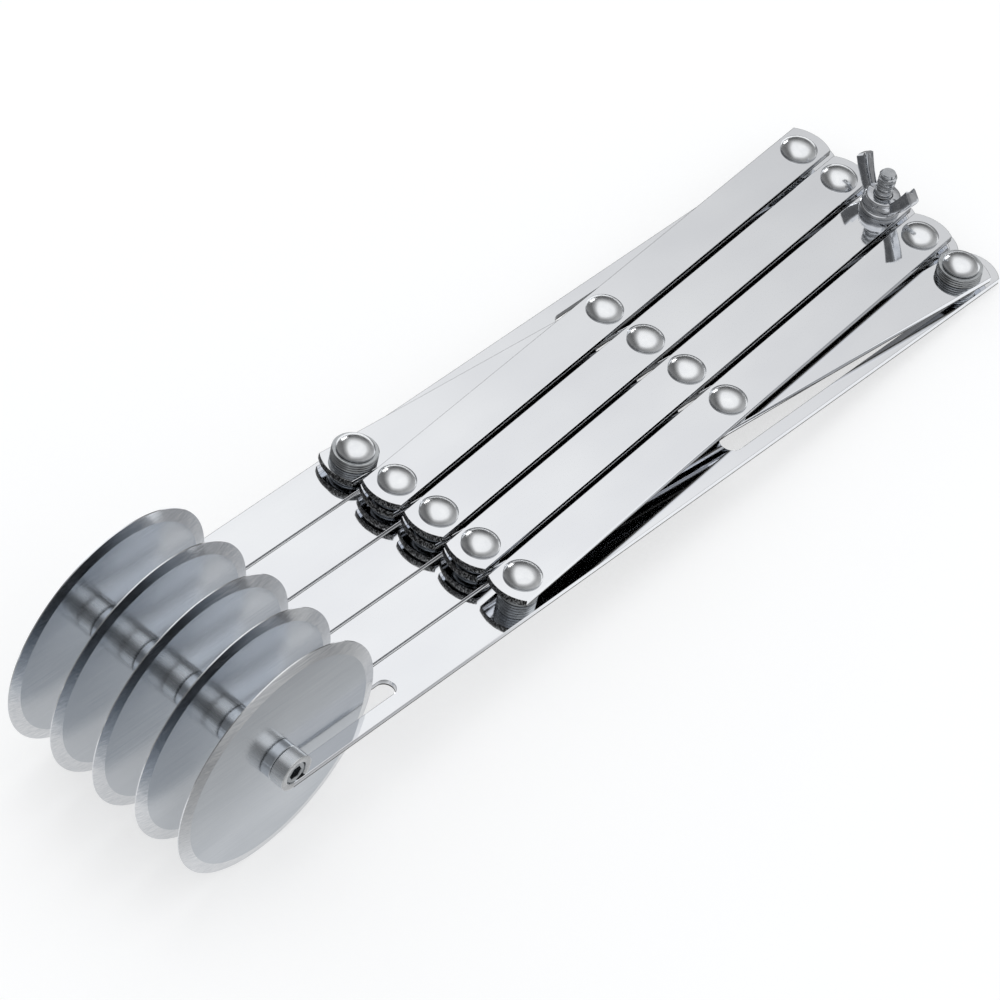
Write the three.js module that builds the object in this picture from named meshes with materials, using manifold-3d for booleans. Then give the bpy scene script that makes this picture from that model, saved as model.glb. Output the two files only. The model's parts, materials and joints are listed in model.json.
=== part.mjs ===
// An expanding pastry cutter: cutting wheels on flat steel arms, kept evenly spaced by a lazy tongs
// of flat links, with a wing nut on the middle arm that clamps the spacing.
// Millimetres. X runs across the arms, +Y from the wheels to the rear, +Z up. The tool is closed and
// lies as it rests on a table, on its wheels and on the lower heads of its rear pivots.
import * as THREE from "three";
import { mergeVertices } from "three/addons/utils/BufferGeometryUtils.js";
import Module from "manifold-3d";

// Arms
const ARM_COUNT = 5;
const ARM_WIDTH = 10.9;
const ARM_GAP = 0.6; // between neighbouring arms
const ARM_THICK = 1.5;
const ARM_REAR = 11; // arm beyond its rear pivot
const ARM_END_RISE = 2.4; // height of the arc that ends the arm
const AXLE_REACH = 73; // wheel axle to front pivot

// Wheels and axle pins
const WHEEL_DIAMETER = 55;
const WHEEL_THICK = 1.4;
const HUB_LENGTH = 1.2; // hub beyond each face of the wheel
const HUB_PLAY = 0.2; // between a hub and the fork
const HUB_RADIUS = 4.1;
const BEVEL_WIDTH = 2.7;
const RIM_LAND = 0.25; // thickness left at the cutting edge
const RIM_CLEAR = 7.3; // between the rim and the end of the fork's slot
const AXLE_RADIUS = 2.6;
const AXLE_FIT = 0.1; // between the pin and the rolled eyes
const WHEEL_FIT = 0.15; // between the pin and the wheel's bore
const AXLE_INSET = 0.2; // pin end inside the arm's edge
const SOCKET_FLATS = 2.9; // hex socket in the pin's end
const SOCKET_DEPTH = 3;
const CURL_GAP = 0.25; // between the rolled strip's tip and the arm

// Links of the lazy tongs
const LINK_LENGTH = 145; // between end pivots
const LINK_INSET = 0.45; // link narrower than the arm, each side
const LINK_THICK = 1.5;
const LINK_OVERHANG = 6.75; // link beyond its end pivots
const LINK_END_RISE = 1.6; // height of the arc that ends a link
const OPEN_ANGLE = 62; // degrees between a link and the arms with the tool fully open

// Pivots
const PIN_RADIUS = 2;
const PIVOT_FIT = 0.15; // between a pin and its holes
const SLOT_PLAY = 0.5; // between a rear pin and the arm's slot
const SEAT_GAP = 0.05; // between stacked faces
const LOW_WASHER = 1.1; // arm to lower link
const MID_WASHER = 0.9; // lower link to upper link
const WASHER_INSET = 0.5; // washer inside the link's edge
const SPACER_INSET = 1; // tall spacer inside the link's edge
const DOME_RADIUS = 4.1; // upper rivet heads
const DOME_RIM = 0.3;
const DOME_RISE = 1.7;
const FOOT_RADIUS = 4; // heads under the arms
const FOOT_RISE = 1.6;
const CROSS_HEAD_RADIUS = 3.5; // heads under the crossing links
const CROSS_HEAD_CLEAR = 0.4; // between those heads and the arms

// Clamp bolt and wing nut
const BOLT_ABOVE = 10.2; // bolt end above the upper link
const BOLT_CHAMFER = 0.4;
const NUT_RADIUS = 4.5;
const NUT_TOP_RADIUS = 3.9;
const NUT_FLANGE = 1;
const NUT_HEIGHT = 4;
const WING_SPAN = 19;
const WING_HEIGHT = 11.1; // inner corner of the tip
const WING_SLANT = 2.4; // outer corner of the tip below it
const WING_BREADTH = 2.9;
const WING_THICK = 3;
const WING_KNEE = 3.8; // height where the outer edge turns up
const WING_ROOT_RISE = 1.4; // wing's lower edge above the nut's seat
const NUT_TURN = -9; // degrees from the wings lying straight across

const MIRROR_STEEL = { color: 0xe2e5e8, metalness: 1, roughness: 0.1 };
const BRUSHED_STEEL = { color: 0xa3a9af, metalness: 1, roughness: 0.35 };
const TURNED_STEEL = { color: 0xb4b8bc, metalness: 1, roughness: 0.28 };
const PLATED_STEEL = { color: 0xc4c8cc, metalness: 1, roughness: 0.18 };

// Facets round each kind of turned form
const WHEEL_SIDES = 48;
const ROUND_SIDES = 14;
const CAP_RINGS = 3;
const ARC_STEPS = 6;

// Derived sizes
const PITCH = ARM_WIDTH + ARM_GAP;
const MIDDLE = Math.floor(ARM_COUNT / 2);
const WHEEL_RADIUS = WHEEL_DIAMETER / 2;
const FORK_SLOT = WHEEL_THICK + 2 * (HUB_LENGTH + HUB_PLAY);
const EYE_RADIUS = AXLE_RADIUS + AXLE_FIT;
const CURL_RADIUS = EYE_RADIUS + ARM_THICK;
const AXLE_RISE = EYE_RADIUS; // axle above the arm's top face
const LINK_WIDTH = ARM_WIDTH - 2 * LINK_INSET;
const CLOSED_ANGLE = Math.asin(PITCH / LINK_LENGTH);
const REAR_ROW = LINK_LENGTH * Math.cos(CLOSED_ANGLE); // front pivots to rear pivots, tool closed
const OPEN_ROW = LINK_LENGTH * Math.cos(THREE.MathUtils.degToRad(OPEN_ANGLE));
const HOLE_RADIUS = PIN_RADIUS + PIVOT_FIT;
const WASHER_RADIUS = LINK_WIDTH / 2 - WASHER_INSET;
const SPACER_RADIUS = LINK_WIDTH / 2 - SPACER_INSET;

// Levels above the arm's top face, from the bottom of the stack to the top
const ARM_BOTTOM = -ARM_THICK;
const LOWER_LINK_BOTTOM = LOW_WASHER + 2 * SEAT_GAP;
const LOWER_LINK_TOP = LOWER_LINK_BOTTOM + LINK_THICK;
const UPPER_LINK_BOTTOM = LOWER_LINK_TOP + MID_WASHER + 2 * SEAT_GAP;
const UPPER_LINK_TOP = UPPER_LINK_BOTTOM + LINK_THICK;

const wasm = await Module();
wasm.setup();

// A closed three.js geometry as a solid that can be joined and cut.
function solidOf(geometry) {
  const bare = geometry.clone();
  bare.deleteAttribute("normal");
  bare.deleteAttribute("uv");
  const merged = mergeVertices(bare);
  const mesh = new wasm.Mesh({
    numProp: 3,
    vertProperties: merged.attributes.position.array,
    triVerts: new Uint32Array(merged.index.array),
  });
  return new wasm.Manifold(mesh);
}

function geometryOf(solid) {
  const mesh = solid.getMesh();
  const geometry = new THREE.BufferGeometry();
  geometry.setAttribute("position", new THREE.BufferAttribute(mesh.vertProperties, 3));
  geometry.setIndex(new THREE.BufferAttribute(mesh.triVerts, 1));
  geometry.computeVertexNormals();
  return geometry;
}

// A flat outline in X and Y given a thickness upwards from a level.
function plate(outline, level, thickness) {
  const settings = { depth: thickness, bevelEnabled: false, curveSegments: ARC_STEPS };
  return new THREE.ExtrudeGeometry(outline, settings).translate(0, 0, level);
}

// A profile of [radius, height] pairs, from low to high, turned about Z.
function turned(profile, sides = ROUND_SIDES) {
  const points = profile.map(([radius, height]) => new THREE.Vector2(radius, height));
  return new THREE.LatheGeometry(points, sides).rotateX(Math.PI / 2);
}

function ring(inner, outer, low, high) {
  const square = [
    [inner, low],
    [outer, low],
    [outer, high],
    [inner, high],
    [inner, low],
  ];
  return turned(square);
}

const capRadius = (radius, rise) => (radius * radius + rise * rise) / (2 * rise);

// Points of a shallow dome from its edge to its crown, upwards from a level.
function dome(radius, rise, level) {
  const sphere = capRadius(radius, rise);
  const edge = Math.asin(radius / sphere);
  const points = [];
  for (let step = 0; step <= CAP_RINGS; step += 1) {
    const angle = edge * (1 - step / CAP_RINGS);
    points.push([sphere * Math.sin(angle), level + rise - sphere * (1 - Math.cos(angle))]);
  }
  return points;
}

// The same dome hanging from a level, from its crown to its edge.
function foot(radius, rise, level) {
  const upright = dome(radius, rise, 0);
  return upright.map(([across, up]) => [across, level - up]).reverse();
}

// Ends the outline of a bar with a shallow arc, from its right edge to its left.
function endArc(outline, width, rise, tip) {
  const radius = capRadius(width / 2, rise);
  const half = Math.asin(width / 2 / radius);
  outline.absarc(0, tip - radius, radius, Math.PI / 2 - half, Math.PI / 2 + half, false);
}

function roundHole(outline, y, radius) {
  outline.holes.push(new THREE.Path().absarc(0, y, radius, 0, 2 * Math.PI));
}

// Arm: a strip whose forked front end is rolled up into two eyes. The strip's side view, extruded
// across the arm, is trimmed by the arm's plan view.
function armGeometry() {
  const trim = 1;
  const tip = -Math.asin((EYE_RADIUS - CURL_GAP) / CURL_RADIUS);
  const rear = AXLE_REACH + REAR_ROW + ARM_REAR;
  const side = new THREE.Shape();
  side.moveTo(rear + trim, -CURL_RADIUS);
  side.lineTo(0, -CURL_RADIUS);
  side.absarc(0, 0, CURL_RADIUS, -Math.PI / 2, tip - 2 * Math.PI, true);
  side.absarc(0, 0, EYE_RADIUS, tip - 2 * Math.PI, -Math.PI / 2, false);
  side.lineTo(rear + trim, -EYE_RADIUS);
  side.closePath();
  const across = ARM_WIDTH + 2 * trim;
  const toSide = new THREE.Matrix4().makeBasis(
    new THREE.Vector3(0, 1, 0),
    new THREE.Vector3(0, 0, 1),
    new THREE.Vector3(1, 0, 0),
  );
  const strip = plate(side, -across / 2, across).applyMatrix4(toSide);
  strip.translate(0, -AXLE_REACH, AXLE_RISE);

  const front = -AXLE_REACH - CURL_RADIUS - trim;
  const forkEnd = -AXLE_REACH + WHEEL_RADIUS + RIM_CLEAR - FORK_SLOT / 2;
  const plan = new THREE.Shape();
  plan.moveTo(-ARM_WIDTH / 2, front);
  plan.lineTo(-FORK_SLOT / 2, front);
  plan.absarc(0, forkEnd, FORK_SLOT / 2, Math.PI, 0, true);
  plan.lineTo(FORK_SLOT / 2, front);
  plan.lineTo(ARM_WIDTH / 2, front);
  endArc(plan, ARM_WIDTH, ARM_END_RISE, REAR_ROW + ARM_REAR);
  plan.closePath();
  roundHole(plan, 0, HOLE_RADIUS);
  const slot = new THREE.Path();
  const slotRadius = PIN_RADIUS + SLOT_PLAY;
  slot.absarc(0, REAR_ROW, slotRadius, 0, Math.PI);
  slot.absarc(0, OPEN_ROW, slotRadius, Math.PI, 2 * Math.PI);
  slot.closePath();
  plan.holes.push(slot);
  const cutter = plate(plan, ARM_BOTTOM - trim, ARM_THICK + 2 * CURL_RADIUS + 2 * trim);
  return geometryOf(solidOf(strip).intersect(solidOf(cutter)));
}

// Cutting wheel, turned about X: a flat disc on a short hub, bevelled on both faces to a thin edge.
function wheelGeometry() {
  const half = WHEEL_THICK / 2;
  const hubHalf = half + HUB_LENGTH;
  const bore = AXLE_RADIUS + WHEEL_FIT;
  const profile = [
    [bore, -hubHalf],
    [HUB_RADIUS, -hubHalf],
    [HUB_RADIUS, -half],
    [WHEEL_RADIUS - BEVEL_WIDTH, -half],
    [WHEEL_RADIUS, -RIM_LAND / 2],
    [WHEEL_RADIUS, RIM_LAND / 2],
    [WHEEL_RADIUS - BEVEL_WIDTH, half],
    [HUB_RADIUS, half],
    [HUB_RADIUS, hubHalf],
    [bore, hubHalf],
    [bore, -hubHalf],
  ];
  return turned(profile, WHEEL_SIDES).rotateY(Math.PI / 2);
}

// Axle pin along X, with a hex socket in its right end.
function axleGeometry() {
  const half = ARM_WIDTH / 2 - AXLE_INSET;
  const pin = turned([
    [0, -half],
    [AXLE_RADIUS, -half],
    [AXLE_RADIUS, half],
    [0, half],
  ]);
  const corner = SOCKET_FLATS / Math.sqrt(3);
  const trim = 1;
  const hex = new THREE.CylinderGeometry(corner, corner, SOCKET_DEPTH + trim, 6);
  hex.rotateX(Math.PI / 2).translate(0, 0, half + (trim - SOCKET_DEPTH) / 2);
  return geometryOf(solidOf(pin).subtract(solidOf(hex))).rotateY(Math.PI / 2);
}

// Link: a bar from its front pivot at the origin to its rear pivot up the Y axis.
function linkGeometry() {
  const outline = new THREE.Shape();
  const radius = capRadius(LINK_WIDTH / 2, LINK_END_RISE);
  const half = Math.asin(LINK_WIDTH / 2 / radius);
  const down = -Math.PI / 2;
  outline.absarc(0, radius - LINK_OVERHANG, radius, down - half, down + half, false);
  endArc(outline, LINK_WIDTH, LINK_END_RISE, LINK_LENGTH + LINK_OVERHANG);
  outline.closePath();
  for (const share of [0, 0.5, 1]) {
    roundHole(outline, share * LINK_LENGTH, HOLE_RADIUS);
  }
  return plate(outline, 0, LINK_THICK);
}

// Rivet: one turned piece with a head closed over each end of its shank.
function rivetGeometry(lowerHead, lowerSeat) {
  const seat = UPPER_LINK_TOP + SEAT_GAP;
  return turned([
    ...lowerHead,
    [PIN_RADIUS, lowerSeat],
    [PIN_RADIUS, seat],
    [DOME_RADIUS, seat],
    ...dome(DOME_RADIUS, DOME_RISE, seat + DOME_RIM),
  ]);
}

// Clamp bolt: the same head under the arm, and a chamfered end above the links.
function boltGeometry(lowerSeat) {
  const end = UPPER_LINK_TOP + BOLT_ABOVE;
  return turned([
    ...foot(FOOT_RADIUS, FOOT_RISE, lowerSeat),
    [PIN_RADIUS, lowerSeat],
    [PIN_RADIUS, end - BOLT_CHAMFER],
    [PIN_RADIUS - BOLT_CHAMFER, end],
    [0, end],
  ]);
}

// Wing nut: a tapered hub on a low flange, with two upswept wings.
function wingNutGeometry() {
  const hub = solidOf(
    turned([
      [0, 0],
      [NUT_RADIUS, 0],
      [NUT_RADIUS, NUT_FLANGE],
      [NUT_TOP_RADIUS, NUT_HEIGHT],
      [0, NUT_HEIGHT],
    ]),
  );
  const reach = WING_SPAN / 2;
  const inside = (HOLE_RADIUS + NUT_TOP_RADIUS) / 2;
  const blade = new THREE.Shape();
  blade.moveTo(inside, WING_ROOT_RISE);
  blade.lineTo(NUT_RADIUS, WING_ROOT_RISE);
  blade.quadraticCurveTo(reach - WING_BREADTH / 2, WING_KNEE, reach, WING_HEIGHT - WING_SLANT);
  blade.lineTo(reach - WING_BREADTH, WING_HEIGHT);
  blade.lineTo(inside, NUT_HEIGHT - SEAT_GAP);
  blade.closePath();
  const wing = plate(blade, -WING_THICK / 2, WING_THICK).rotateX(Math.PI / 2);
  const other = wing.clone().rotateZ(Math.PI);
  const trim = 1;
  const bore = new THREE.CylinderGeometry(HOLE_RADIUS, HOLE_RADIUS, NUT_HEIGHT + 2 * trim, ROUND_SIDES);
  bore.rotateX(Math.PI / 2).translate(0, 0, NUT_HEIGHT / 2);
  const winged = hub.add(solidOf(wing)).add(solidOf(other));
  return geometryOf(winged.subtract(solidOf(bore)));
}

const tool = new THREE.Group();

function place(name, geometry, finish, x, y, z) {
  const mesh = new THREE.Mesh(geometry, new THREE.MeshStandardMaterial(finish));
  mesh.name = name;
  mesh.position.set(x, y, z);
  tool.add(mesh);
  return mesh;
}

// Tilt that lets the tool rest on its wheels and on the domed heads under its rear pivots.
const footSphere = capRadius(FOOT_RADIUS, FOOT_RISE);
const footDrop = AXLE_RISE + ARM_THICK + SEAT_GAP + FOOT_RISE - footSphere;
const footReach = AXLE_REACH + REAR_ROW;
const restSine = (WHEEL_RADIUS - footSphere) / Math.hypot(footReach, footDrop);
const restTilt = Math.asin(restSine) - Math.atan2(footDrop, footReach);

const footSeat = ARM_BOTTOM - SEAT_GAP;
const footHead = foot(FOOT_RADIUS, FOOT_RISE, footSeat);
const crossSeat = LOWER_LINK_BOTTOM - SEAT_GAP;
const crossHeadBottom = crossSeat - (LOW_WASHER - CROSS_HEAD_CLEAR);
const crossHead = [
  [0, crossHeadBottom],
  [CROSS_HEAD_RADIUS, crossHeadBottom],
  [CROSS_HEAD_RADIUS, crossSeat],
];
const midSeat = LOWER_LINK_TOP + SEAT_GAP;
const tallTop = UPPER_LINK_BOTTOM - SEAT_GAP;
const acrossOf = (index) => (index - (ARM_COUNT - 1) / 2) * PITCH;

const armShape = armGeometry();
const wheelShape = wheelGeometry();
const axleShape = axleGeometry();
for (let arm = 0; arm < ARM_COUNT; arm += 1) {
  const number = arm + 1;
  const x = acrossOf(arm);
  place(`arm_${number}`, armShape, MIRROR_STEEL, x, 0, 0);
  const wheel = place(`wheel_${number}`, wheelShape, BRUSHED_STEEL, x, -AXLE_REACH, AXLE_RISE);
  wheel.rotation.x = restTilt;
  place(`axle_pin_${number}`, axleShape, TURNED_STEEL, x, -AXLE_REACH, AXLE_RISE);
}

// Each cell of the tongs: a lower link leaning right, an upper link leaning left, and the rivet and
// washer where they cross.
const linkShape = linkGeometry();
const crossRivetShape = rivetGeometry(crossHead, crossSeat);
const midWasherShape = ring(HOLE_RADIUS, WASHER_RADIUS, midSeat, midSeat + MID_WASHER);
for (let cell = 0; cell < ARM_COUNT - 1; cell += 1) {
  const number = cell + 1;
  const left = acrossOf(cell);
  const lower = place(`lower_link_${number}`, linkShape, MIRROR_STEEL, left, 0, LOWER_LINK_BOTTOM);
  lower.rotation.z = -CLOSED_ANGLE;
  const upper = place(`upper_link_${number}`, linkShape, MIRROR_STEEL, left + PITCH, 0, UPPER_LINK_BOTTOM);
  upper.rotation.z = CLOSED_ANGLE;
  const crossing = left + PITCH / 2;
  place(`cross_rivet_${number}`, crossRivetShape, MIRROR_STEEL, crossing, REAR_ROW / 2, 0);
  place(`cross_washer_${number}`, midWasherShape, TURNED_STEEL, crossing, REAR_ROW / 2, 0);
}

// Front and rear pivots: where a lower or an upper link is missing at the end of a row, a spacer
// ring fills its place, so that all heads sit at one level.
const pivotRivetShape = rivetGeometry(footHead, footSeat);
const lowWasherShape = ring(HOLE_RADIUS, WASHER_RADIUS, SEAT_GAP, SEAT_GAP + LOW_WASHER);
const tallSpacerShape = ring(HOLE_RADIUS, SPACER_RADIUS, SEAT_GAP, tallTop);
const topSpacerShape = ring(HOLE_RADIUS, LINK_WIDTH / 2, midSeat, UPPER_LINK_TOP);
const rows = [
  { row: "front", y: 0, noLower: ARM_COUNT - 1, noUpper: 0, clamp: -1 },
  { row: "rear", y: REAR_ROW, noLower: 0, noUpper: ARM_COUNT - 1, clamp: MIDDLE },
];
for (const { row, y, noLower, noUpper, clamp } of rows) {
  for (let arm = 0; arm < ARM_COUNT; arm += 1) {
    const number = arm + 1;
    const x = acrossOf(arm);
    if (arm === clamp) {
      place("clamp_bolt", boltGeometry(footSeat), PLATED_STEEL, x, y, 0);
      const nut = place("wing_nut", wingNutGeometry(), PLATED_STEEL, x, y, UPPER_LINK_TOP + SEAT_GAP);
      nut.rotation.z = THREE.MathUtils.degToRad(NUT_TURN);
    } else {
      place(`${row}_rivet_${number}`, pivotRivetShape, MIRROR_STEEL, x, y, 0);
    }
    if (arm === noLower) {
      place(`${row}_tall_spacer_${number}`, tallSpacerShape, TURNED_STEEL, x, y, 0);
    } else {
      place(`${row}_low_washer_${number}`, lowWasherShape, TURNED_STEEL, x, y, 0);
      const between = arm === noUpper ? topSpacerShape : midWasherShape;
      const kind = arm === noUpper ? "top_spacer" : "mid_washer";
      place(`${row}_${kind}_${number}`, between, TURNED_STEEL, x, y, 0);
    }
  }
}

// The tilted tool stands on the table, with its box centred over the origin.
tool.rotation.x = -restTilt;
const cutter = new THREE.Group();
cutter.add(tool);
cutter.updateMatrixWorld(true);
const box = new THREE.Box3().setFromObject(cutter, true);
const middle = box.getCenter(new THREE.Vector3());
tool.position.set(-middle.x, -middle.y, -box.min.z);
cutter.updateMatrixWorld(true);

export default cutter;
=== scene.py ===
import json
import math

import bmesh
import bpy
from mathutils import Matrix, Vector
from mathutils.geometry import delaunay_2d_cdt

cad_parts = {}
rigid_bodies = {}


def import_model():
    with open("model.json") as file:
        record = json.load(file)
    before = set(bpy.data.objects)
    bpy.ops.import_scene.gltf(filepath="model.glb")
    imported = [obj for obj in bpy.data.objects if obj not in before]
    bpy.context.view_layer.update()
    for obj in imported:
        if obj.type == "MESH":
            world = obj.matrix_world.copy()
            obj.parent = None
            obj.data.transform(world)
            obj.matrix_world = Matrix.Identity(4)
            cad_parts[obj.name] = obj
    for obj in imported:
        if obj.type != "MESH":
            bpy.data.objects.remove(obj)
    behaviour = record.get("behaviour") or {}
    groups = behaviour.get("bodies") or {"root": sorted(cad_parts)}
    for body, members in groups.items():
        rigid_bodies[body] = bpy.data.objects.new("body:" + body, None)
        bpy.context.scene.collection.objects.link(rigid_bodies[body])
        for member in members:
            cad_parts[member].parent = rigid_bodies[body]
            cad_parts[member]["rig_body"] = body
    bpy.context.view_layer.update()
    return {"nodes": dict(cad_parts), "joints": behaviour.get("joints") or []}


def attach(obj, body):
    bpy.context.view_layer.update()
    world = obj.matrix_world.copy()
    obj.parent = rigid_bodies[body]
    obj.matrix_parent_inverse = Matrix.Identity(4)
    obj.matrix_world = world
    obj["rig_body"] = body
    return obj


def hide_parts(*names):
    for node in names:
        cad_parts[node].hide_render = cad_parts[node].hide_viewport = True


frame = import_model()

MM = 0.001
scene = bpy.context.scene
scene.view_settings.view_transform = "Standard"


# Camera
# It stands to the front right of the tool and well above it, with a long lens that is rolled a little, so
# that the arms run up the picture from the lower left to the upper right.
CAMERA_AIM = Vector((3.803, -11.689, 17.353)) * MM
CAMERA_DISTANCE = 1318.78 * MM
CAMERA_AZIMUTH = math.radians(35.267)
CAMERA_ELEVATION = math.radians(49.161)
CAMERA_ROLL = math.radians(8.908)
CAMERA_LENS = 232.66
CAMERA_SENSOR = 36.0

level = Vector((math.cos(CAMERA_AZIMUTH), math.sin(CAMERA_AZIMUTH), 0))
away = Vector((-math.sin(CAMERA_AZIMUTH), math.cos(CAMERA_AZIMUTH), 0)) * math.cos(CAMERA_ELEVATION)
look = away - Vector((0, 0, math.sin(CAMERA_ELEVATION)))
right = level * math.cos(CAMERA_ROLL) + level.cross(look) * math.sin(CAMERA_ROLL)
camera_data = bpy.data.cameras.new("camera")
camera_data.lens = CAMERA_LENS
camera_data.sensor_width = CAMERA_SENSOR
camera = bpy.data.objects.new("camera", camera_data)
camera.matrix_world = Matrix.Translation(CAMERA_AIM - look * CAMERA_DISTANCE) @ Matrix(
    (right, right.cross(look), -look)
).transposed().to_4x4()
scene.collection.objects.link(camera)
scene.camera = camera


# Studio
# A plain white table under a soft lamp overhead, in a room whose walls are dimmer than its ceiling, which is
# what polished steel shows along its edges. A small low window on the left puts a spark on the round heads.
WHITE = "#FFFFFF"
MIX_A = 6
MIX_B = 7
MIX_RESULT = 2
NOISE_RANGE = (0.3, 0.7)


def rgb(code):
    """Linear colour of an sRGB hex value."""
    parts = [int(code[k:k + 2], 16) / 255 for k in (1, 3, 5)]
    return [c / 12.92 if c <= 0.04045 else ((c + 0.055) / 1.055) ** 2.4 for c in parts] + [1.0]


def add(tree, kind, settings=(), sockets=()):
    """A node with its settings, and its inputs set to a value or linked to outputs of earlier nodes."""
    node = tree.nodes.new(kind)
    for name, value in dict(settings).items():
        setattr(node, name, value)
    for key, value in dict(sockets).items():
        sources = value if isinstance(value, list) else [value]
        if isinstance(sources[0], bpy.types.NodeSocket):
            for source in sources:
                tree.links.new(source, node.inputs[key])
        else:
            node.inputs[key].default_value = value
    return node


def calc(tree, operation, *values, clamp=False):
    """The result of an operation on numbers and on outputs of earlier nodes."""
    settings = {"operation": operation, "use_clamp": clamp}
    return add(tree, "ShaderNodeMath", settings, dict(enumerate(values))).outputs[0]


def dot(tree, one, two):
    """The dot product of two vectors."""
    return add(tree, "ShaderNodeVectorMath", {"operation": "DOT_PRODUCT"}, {0: one, 1: two}).outputs["Value"]


def spread(tree, value, low, high, edges=NOISE_RANGE, shape="LINEAR"):
    """A value between two edges turned into a number between low and high."""
    return add(tree, "ShaderNodeMapRange", {"interpolation_type": shape}, {
        "Value": value, "From Min": edges[0], "From Max": edges[1], "To Min": low, "To Max": high,
    }).outputs["Result"]


def mix(tree, share, one, two, blend="MIX"):
    """Two colours blended, the second by its share."""
    settings = {"data_type": "RGBA", "blend_type": blend}
    return add(tree, "ShaderNodeMix", settings, {0: share, MIX_A: one, MIX_B: two}).outputs[MIX_RESULT]


def ramp(tree, value, stops):
    """A grey that goes from stop to stop as a value goes from 0 to 1."""
    node = add(tree, "ShaderNodeValToRGB", (), {"Fac": value})
    elements = node.color_ramp.elements
    for place, _ in stops[1:-1]:
        elements.new(place)
    for element, (_, strength) in zip(elements, stops):
        element.color = (strength, strength, strength, 1)
    return node.outputs["Color"]


# How bright the room is for a mirror: one large softbox overhead, a little behind the tool, fading out to dim
# walls. The glow goes by how near the direction in which the mirror looks lies to the softbox. It fades
# sooner behind the tool and to the left, and later towards the front. The right wall is the palest and the
# rear wall the darkest.
SOFTBOX_AIM = (-0.134, 0.242, 0.961)
SOFTBOX_GLOW = [
    (0.0, 0.04), (0.34, 0.12), (0.5, 0.22), (0.6, 0.33), (0.67, 0.44), (0.745, 0.57),
    (0.79, 0.69), (0.81, 0.82), (0.83, 0.95), (0.86, 0.96), (0.91, 0.97), (1.0, 1.0),
]
# Each fade: where it starts, where it is full, and how much it then changes the nearness.
REAR_FADE = (0.82, 1.0, -0.27)
FRONT_FADE = (0.7, -1.0, 0.10)
LEFT_FADE = (-0.2, -1.0, -0.65)
ROOM_ALONG = (-0.577, 0.816, 0.0)
ROOM_ACROSS = (0.816, 0.577, 0.0)
WALL_DIM = 0.09
WALL_SIDE = 0.26
WALL_LEAN = 0.12
WALL_FRONT = 0.25
ROOM_FILL = "#DADCDE"

world = bpy.data.worlds.new("studio_room")
scene.world = world
world.use_nodes = True
room = world.node_tree
room.nodes.clear()
ray = add(room, "ShaderNodeLightPath").outputs
direction = add(room, "ShaderNodeTexCoord").outputs["Generated"]
along = dot(room, direction, ROOM_ALONG)
across = dot(room, direction, ROOM_ACROSS)
nearness = dot(room, direction, SOFTBOX_AIM)
for way, (start, full, change) in ((along, REAR_FADE), (along, FRONT_FADE), (across, LEFT_FADE)):
    nearness = calc(room, "ADD", nearness, spread(room, way, 0.0, change, (start, full)))
glow = ramp(room, nearness, SOFTBOX_GLOW)
side_slope = calc(room, "MULTIPLY_ADD", across, WALL_SIDE, WALL_LEAN)
side_wall = calc(room, "MULTIPLY_ADD", side_slope, across, WALL_DIM)
front = calc(room, "MINIMUM", along, 0.0)
front_squared = calc(room, "MULTIPLY", front, front)
wall = calc(room, "MULTIPLY_ADD", front_squared, WALL_FRONT, side_wall)
lit = mix(room, ray["Is Glossy Ray"], rgb(ROOM_FILL), calc(room, "MAXIMUM", glow, wall))
seen = calc(room, "MAXIMUM", ray["Is Camera Ray"], ray["Is Transmission Ray"])
sky = add(room, "ShaderNodeBackground", (), {"Color": mix(room, seen, lit, rgb(WHITE))})
add(room, "ShaderNodeOutputWorld", (), {"Surface": sky.outputs[0]})

# Painted table: matt white, with a share of its own light for the eye, so that the open table is white and
# the shadow on it stays soft. For a mirror, its colour and its own light carry a painted pool of light round
# the wheels, painted shade under the arms, and to the sides a table that grows pale again as far as the pool
# reaches and is dim beyond.
TABLE_RADIUS = 6.0
TABLE_SIDES = 64
TABLE_DROP = 0.02 * MM
TABLE_PAINT = "#BCBCBC"
TABLE_LIFT = 0.58
# Painted pool of light for mirrors: the table's level by its distance to the side, as a share of the reach
# below.
PAINTED_POOL = [
    (0.0, 0.8), (0.2, 0.8), (0.25, 0.62), (0.3, 0.50), (0.37, 0.38), (0.48, 0.27), (1.0, 1.0), (1.0, 0.27),
]
PAINTED_POOL_REACH = 150 * MM
WHEELS_END = (-35 * MM, -5 * MM)
UNDER_ARMS = (22 * MM, 31 * MM)
UNDER_SHADE = 0.75
table_paint = bpy.data.materials.new("matt_white_table_paint")
table_paint.use_nodes = True
tree = table_paint.node_tree
tree.nodes.clear()
ray = add(tree, "ShaderNodeLightPath").outputs
mirrored = calc(tree, "MAXIMUM", ray["Is Glossy Ray"], ray["Is Transmission Ray"])
spot = add(tree, "ShaderNodeSeparateXYZ", (), {0: add(tree, "ShaderNodeTexCoord").outputs["Object"]}).outputs
aside = calc(tree, "ABSOLUTE", spot["X"])
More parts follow.
